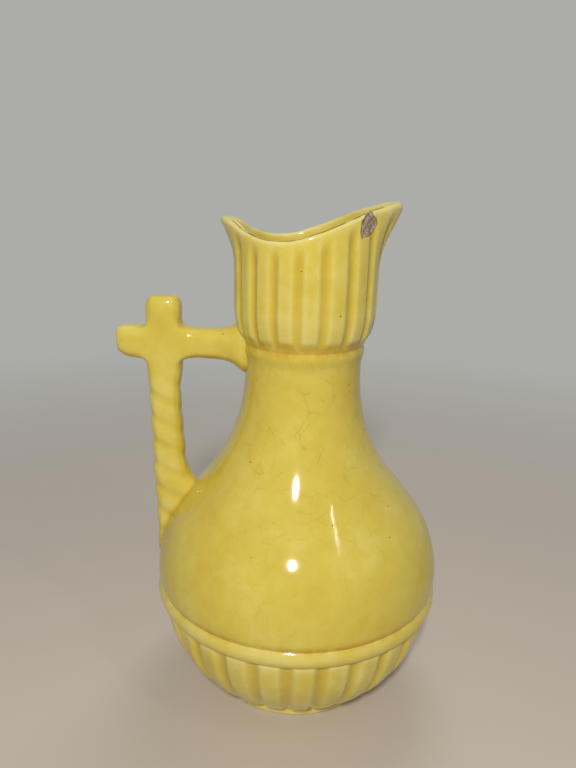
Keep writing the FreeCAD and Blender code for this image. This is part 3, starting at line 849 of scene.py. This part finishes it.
def ringPoint(u, v, across, upward, halfAcross, halfUp):
    # A cage point of a rounded square section, with its corners drawn in
    corner = handle["cornerCut"] if abs(u) == 1 and abs(v) == 1 else 0.0
    return across * (u * halfAcross * (1 - corner)) + upward * (v * halfUp * (1 - corner))


def pullArm(cage, faces, across, upward, rings):
    # Pulls nine faces out ring by ring; a ring is its centre and two half sizes
    share = handle["edgeShare"]
    shape = {}
    verts = {v for f in faces for v in f.verts}
    centre = sum((v.co for v in verts), Vector()) / len(verts)
    for v in verts:
        flat = [round((v.co - centre).dot(d) / handle["coreHalf"] * 3) for d in (across, upward)]
        shape[v] = tuple(math.copysign(1 if abs(f) > 1 else share, f) for f in flat)
    for middle, halfAcross, halfUp in rings:
        keys = {v.co.copy().freeze(): shape[v] for v in {v for f in faces for v in f.verts}}
        made = bmesh.ops.extrude_face_region(cage, geom=faces)["geom"]
        bmesh.ops.delete(cage, geom=faces, context="FACES")
        faces = [g for g in made if isinstance(g, bmesh.types.BMFace)]
        moved = [g for g in made if isinstance(g, bmesh.types.BMVert)]
        shape = {}
        for v in moved:
            shape[v] = keys[v.co.copy().freeze()]
            v.co = middle + ringPoint(*shape[v], across, upward, halfAcross, halfUp)


def handleCage():
    cage = bmesh.new()
    half = handle["coreHalf"]
    bmesh.ops.create_cube(cage, size=2 * half)
    bmesh.ops.subdivide_edges(cage, edges=cage.edges, cuts=2, use_grid_fill=True)
    x, y, z = Vector((1, 0, 0)), Vector((0, 1, 0)), Vector((0, 0, 1))
    sides = {}
    for key, way in (("left", -x), ("right", x), ("top", z), ("down", -z)):
        sides[key] = [f for f in cage.faces if f.calc_center_median().dot(way) > half * 0.99]
    level, crossX = handle["barLevel"], handle["crossX"]
    offset = Vector((crossX, 0, level))
    pullArm(cage, sides["left"], y, z, [(Vector((a, 0, level + d)) - offset, c, b) for a, b, c, d in leftArm])
    pullArm(cage, sides["right"], y, z, [(Vector((a, 0, level)) - offset, c, b) for a, b, c in rightArm])
    pullArm(cage, sides["top"], x, y, [(Vector((crossX, 0, a)) - offset, b, c) for a, b, c in topArm])
    rings = [(Vector(((o + i) / 2, 0, h)) - offset, (i - o) / 2, d) for h, o, i, d in downArm]
    pullArm(cage, sides["down"], x, y, rings)
    for v in cage.verts:
        if abs(v.co.y) > half * 0.99 and abs(v.co.x) <= half and abs(v.co.z) <= half:
            v.co.y = math.copysign(handle["deepHalf"], v.co.y)
        v.co = (v.co + offset) * mm
    mesh = bpy.data.meshes.new("handleCage")
    cage.to_mesh(mesh)
    cage.free()
    return newObject("handleSkin", mesh)


def ropeTree():
    # Cuts the slanting grooves of the twist into the skin, and leaves it a little out of true
    tree, sockets = newGeometryTree("ropeTwist", ropeSizes)
    place = addNode(tree, "GeometryNodeInputPosition")
    inMm = addNode(tree, "ShaderNodeVectorMath", {0: place, "Scale": 1 / mm}, operation="SCALE")
    parts = addNode(tree, "ShaderNodeSeparateXYZ", [inMm]).outputs
    fromAxis = addNode(tree, "ShaderNodeMath", [parts["X"], sockets["AxisX"]], operation="SUBTRACT")
    angle = addNode(tree, "ShaderNodeMath", [parts["Y"], fromAxis], operation="ARCTAN2")
    climb = addNode(tree, "ShaderNodeMath", [parts["Z"], sockets["Lead"]], operation="DIVIDE")
    climb = addNode(tree, "ShaderNodeMath", [climb, 2 * math.pi, angle], operation="MULTIPLY_ADD")
    phase = addNode(tree, "ShaderNodeMath", [climb, sockets["Strands"]], operation="MULTIPLY")
    wave = addNode(tree, "ShaderNodeMath", [phase], operation="COSINE")
    wave = addNode(tree, "ShaderNodeMath", [wave, 0.5, 0.5], operation="MULTIPLY_ADD")
    groove = addNode(tree, "ShaderNodeMath", [wave, sockets["Broadness"]], operation="POWER")
    for level, reach, sign in (("TopLevel", "TopFade", -1.0), ("LowLevel", "LowFade", 1.0)):
        gap = shareFrom(tree, parts["Z"], sockets[level], sockets[reach], sign)
        groove = addNode(tree, "ShaderNodeMath", [groove, gap], operation="MULTIPLY")
    sunk = addNode(tree, "ShaderNodeMath", [groove, sockets["GrooveDepth"]], operation="MULTIPLY")
    noise = addNode(tree, "ShaderNodeTexNoise",
                    {"Vector": inMm, "Scale": 1 / wobble["ropeMm"], "Detail": 1.0})
    drift = addNode(tree, "ShaderNodeMath", [noise, 0.5], operation="SUBTRACT")
    drift = addNode(tree, "ShaderNodeMath", [drift, sockets["Unevenness"]], operation="MULTIPLY")
    move = addNode(tree, "ShaderNodeMath", [drift, sunk], operation="SUBTRACT")
    move = addNode(tree, "ShaderNodeMath", [move, mm], operation="MULTIPLY")
    normal = addNode(tree, "GeometryNodeInputNormal")
    step = addNode(tree, "ShaderNodeVectorMath", {0: normal, "Scale": move}, operation="SCALE")
    moved = addNode(tree, "GeometryNodeSetPosition", {"Geometry": sockets["Geometry"], "Offset": step})
    endTree(tree, moved, sockets["Material"])
    return tree


def partOfHandle(skin, name, keepFace):
    # The faces of the skin that keepFace picks, closed flat where they were cut
    piece = newObject(name, skin.data.copy())
    clay = bmesh.new()
    clay.from_mesh(piece.data)
    drop = [f for f in clay.faces if not keepFace(f.calc_center_median() / mm)]
    bmesh.ops.delete(clay, geom=drop, context="FACES")
    rims = [e for e in clay.edges if len(e.link_faces) == 1]
    bmesh.ops.holes_fill(clay, edges=rims, sides=0)
    clay.to_mesh(piece.data)
    clay.free()
    return piece


def thickenNearBody(skin, reachMm=3.0, share=0.5):
    # Glaze also gathers where the handle meets the body
    line = np.array(bellyLine(0))
    points = readMesh(skin.data.vertices, "co", 3) / mm
    away = np.hypot(points[:, 0], points[:, 1]) - np.interp(points[:, 2], line[:, 1], line[:, 0])
    layer = skin.data.attributes["hollow"].data
    value = readMesh(layer, "value", 1, np.float32)[:, 0]
    value += (share * np.clip(1 - away / reachMm, 0.0, 1.0) ** 2).astype(np.float32)
    layer.foreach_set("value", value)


def makeHandle(material):
    skin = handleCage()
    soften = skin.modifiers.new("soften", "SUBSURF")
    soften.levels = soften.render_levels = handle["subdivisions"]
    keepShape(skin)
    applyTree(skin, ropeTree(), ropeSizes, material)
    lowCut, highCut = upright[1].z, stub[0].z
    whole = bmesh.new()
    whole.from_mesh(skin.data)
    bmesh.ops.recalc_face_normals(whole, faces=whole.faces)
    for level in (lowCut, highCut):
        geometry = list(whole.verts) + list(whole.edges) + list(whole.faces)
        bmesh.ops.bisect_plane(
            whole, geom=geometry, dist=1e-7, plane_co=(0, 0, level * mm), plane_no=(0, 0, 1))
    whole.to_mesh(skin.data)
    whole.free()
    setHollow(skin, reachMm=2.6, deepMm=1.1)
    thickenNearBody(skin)

    def inStub(c):
        return c.z > highCut and c.x < handle["nearNeck"]

    def inUpright(c):
        return c.z < lowCut and c.x < handle["nearNeck"] or c.z < handle["underBar"]

    for name, node, keep in (
            ("handleTopStub", "handle_top_stub", inStub),
            ("twistedUpright", "twisted_upright", inUpright),
            ("handleCrossbar", "handle_crossbar", lambda c: not inStub(c) and not inUpright(c))):
        finishPiece(partOfHandle(skin, name, keep), node, sharpDegrees=70)
    bpy.data.objects.remove(skin)


# Build the pieces
beadGlaze = dippedGlaze("dippedYellowGlazeThinOnBead", craze=0.3, tone=-0.14)
bellyGlaze = dippedGlaze("dippedYellowGlazeCrazed")
bowlGlaze = dippedGlaze("dippedYellowGlazeOnLobes", craze=0.5, tone=-0.04)
mouthGlaze = dippedGlaze("dippedYellowGlazeOnRibs", craze=0.35)
handleGlaze = dippedGlaze("dippedYellowGlazeOnHandle", craze=0.3, poolAndShadeStrength=0.0, ripples=4.5)

makeFootRing(bowlGlaze)
makeGadroonedBowl(bowlGlaze)
makeBellyBead(beadGlaze)
makeBellyAndNeck(bellyGlaze)
makeNeckCollar(bellyGlaze)
makeFlutedMouth(mouthGlaze)
makeHandle(handleGlaze)
print("pieces made")


# Floor, light and camera
stage = {
    "floor": "#C6BCB1", "floorRoughness": 0.45, "room": "#ACADA9", "roomLight": 0.34,
    "clearRadius": 0.12, "fadeRadius": 0.75, "halfWidth": 6.0,
}


def roomStrength(tree):
    # The room is seen and mirrored at full strength, and lights the jug more softly
    rays = addNode(tree, "ShaderNodeLightPath").outputs
    seen = rays["Is Camera Ray"]
    for kind in ("Is Glossy Ray", "Is Transmission Ray"):
        seen = addNode(tree, "ShaderNodeMath", [seen, rays[kind]], operation="ADD", use_clamp=True)
    return addNode(tree, "ShaderNodeMapRange", {"Value": seen, "To Min": stage["roomLight"], "To Max": 1.0})


def makeStage():
    # A plain pale floor of satin board, which fades into the room's colour away from the jug
    mesh = bpy.data.meshes.new("floor")
    half = stage["halfWidth"]
    corners = [(-half, -half, 0), (half, -half, 0), (half, half, 0), (-half, half, 0)]
    mesh.from_pydata(corners, [], [(0, 1, 2, 3)])
    floor = newObject("floor", mesh)
    paint = bpy.data.materials.new("paleSatinBoard")
    tree = emptyTree(paint)
    coords = addNode(tree, "ShaderNodeTexCoord").outputs["Object"]
    away = addNode(tree, "ShaderNodeVectorMath", [coords], operation="LENGTH").outputs["Value"]
    fade = addNode(
        tree, "ShaderNodeMapRange",
        {"Value": away, "From Min": stage["clearRadius"], "From Max": stage["fadeRadius"]},
        interpolation_type="SMOOTHSTEP")
    board = addNode(
        tree, "ShaderNodeBsdfPrincipled",
        {"Base Color": linear(stage["floor"]), "Roughness": stage["floorRoughness"]})
    room = addNode(tree, "ShaderNodeEmission",
                   {"Color": linear(stage["room"]), "Strength": roomStrength(tree)})
    mixed = addNode(tree, "ShaderNodeMixShader", [fade, board, room])
    addNode(tree, "ShaderNodeOutputMaterial", {"Surface": mixed})
    mesh.materials.append(paint)


# Place, size in metres, watts, colour, and whether the gloss mirrors the lamp: a key above the
# camera, a slim strip on the right and a soft light over the back
lamps = {
    "key": ((-0.052, -0.594, 0.545), (0.046, 0.115), 4.45, (1.0, 0.97, 0.92), True),
    "strip": ((0.34, -0.36, 0.65), (0.012, 0.20), 0.22, (1.0, 0.94, 0.86), True),
    "top": ((0.10, 0.50, 0.90), (0.5, 0.5), 2.4, (1.0, 1.0, 1.0), False),
}
lampTarget = (0, 0, 0.10)


def makeLamps():
    for name, (place, size, power, colour, mirrored) in lamps.items():
        light = bpy.data.lights.new(name, "AREA")
        light.shape = "ELLIPSE"
        light.size, light.size_y = size
        light.energy = power
        light.color = colour
        lamp = bpy.data.objects.new(name, light)
        lamp.location = place
        aim = Vector(lampTarget) - Vector(place)
        lamp.rotation_mode = "QUATERNION"
        lamp.rotation_quaternion = aim.to_track_quat("-Z", "Y")
        lamp.visible_glossy = mirrored
        bpy.context.scene.collection.objects.link(lamp)


camera = {"focalPx": 680.0, "sensor": 36.0, "longSidePx": 768.0, "place": (-0.0061, -0.28, 0.2164),
          "pitch": 15.6, "roll": 1.54}


def makeCamera():
    data = bpy.data.cameras.new("view")
    data.sensor_width = camera["sensor"]
    data.lens = camera["focalPx"] * camera["sensor"] / camera["longSidePx"]
    data.clip_start = 0.01
    eye = bpy.data.objects.new("view", data)
    tilt = Matrix.Rotation(math.radians(90 - camera["pitch"]), 4, "X")
    roll = Matrix.Rotation(math.radians(camera["roll"]), 4, "Z")
    eye.matrix_world = Matrix.Translation(Vector(camera["place"])) @ tilt @ roll
    bpy.context.scene.collection.objects.link(eye)
    bpy.context.scene.camera = eye


def makeRoom():
    world = bpy.data.worlds.new("paleRoom")
    tree = emptyTree(world)
    background = addNode(
        tree, "ShaderNodeBackground", {"Color": linear(stage["room"]), "Strength": roomStrength(tree)})
    addNode(tree, "ShaderNodeOutputWorld", {"Surface": background})
    bpy.context.scene.world = world


makeStage()
makeLamps()
makeRoom()
makeCamera()
bpy.context.scene.view_settings.view_transform = "Standard"
print("stage, light and camera set")
